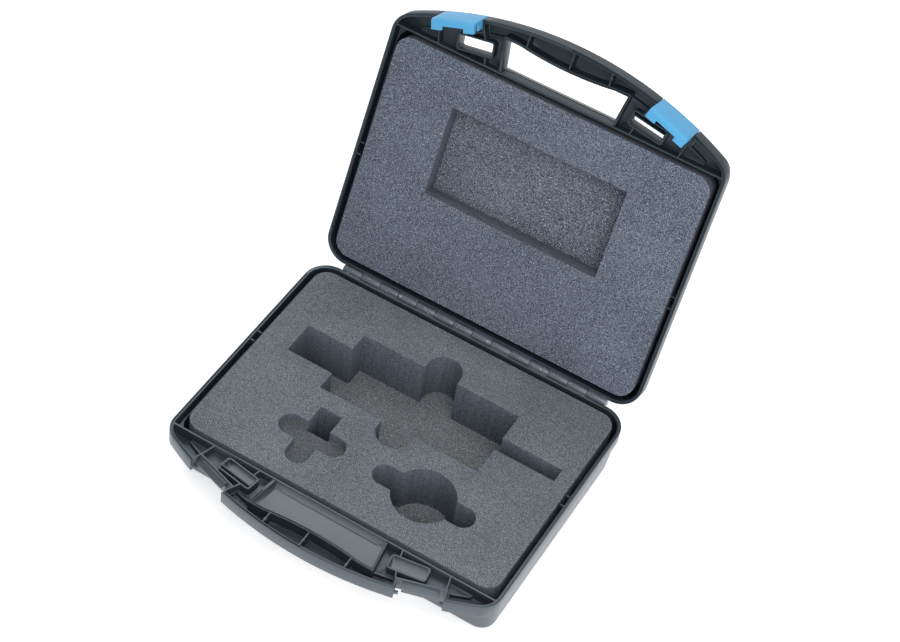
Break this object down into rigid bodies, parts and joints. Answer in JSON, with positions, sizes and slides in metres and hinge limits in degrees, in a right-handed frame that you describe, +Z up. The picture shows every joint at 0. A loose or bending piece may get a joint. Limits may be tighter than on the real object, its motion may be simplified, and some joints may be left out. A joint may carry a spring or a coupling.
{
  "type": "tool case",
  "caption": "Hinged plastic tool case, open, with carrying grip, two snap latches and cut-out foam inserts in the base and lid.",
  "frame": {"origin": "centre of the flat underside on which the base rests", "axes": "+Z up, +Y from the carrying grip towards the hinge, +X to the right seen from the grip"},
  "size_m": [0.306, 0.3804, 0.3114],
  "materials": {
    "shell_plastic": "fine moulded grain, satin black",
    "foam_grey": "open-cell foam with a fine grey speckle",
    "latch_blue": "smooth satin light blue",
    "hinge_steel": "drawn wire"
  },
  "bodies": {
    "base": {"base_shell": "shell_plastic", "base_foam_back_left": "foam_grey", "base_foam_back_right": "foam_grey", "base_foam_front_right": "foam_grey", "base_foam_front_middle": "foam_grey", "base_foam_front_left": "foam_grey", "base_foam_front_left_top": "foam_grey", "base_foam_floor": "foam_grey", "hinge_rod_left": "hinge_steel", "hinge_rod_right": "hinge_steel"},
    "lid": {"lid_shell": "shell_plastic", "lid_foam_sheet": "foam_grey", "lid_foam_backing": "foam_grey"},
    "latch_left": {"latch_left": "latch_blue"},
    "latch_right": {"latch_right": "latch_blue"}
  },
  "joints": [
    {"name": "lid_hinge", "type": "hinge", "parent": "base", "child": "lid", "pos_m": [0, 0.1155, 0.05615], "axis": [1, 0, 0], "range_deg": [0, 110.5]},
    {"name": "latch_left_turn", "type": "hinge", "parent": "lid", "child": "latch_left", "pos_m": [-0.09691, 0.21339, 0.28898], "axis": [-0.953, -0.1061, -0.2838], "range_deg": [0, 75]},
    {"name": "latch_right_turn", "type": "hinge", "parent": "lid", "child": "latch_right", "pos_m": [0.09691, 0.21339, 0.28898], "axis": [-0.953, 0.1061, 0.2838], "range_deg": [0, 75]}
  ]
}
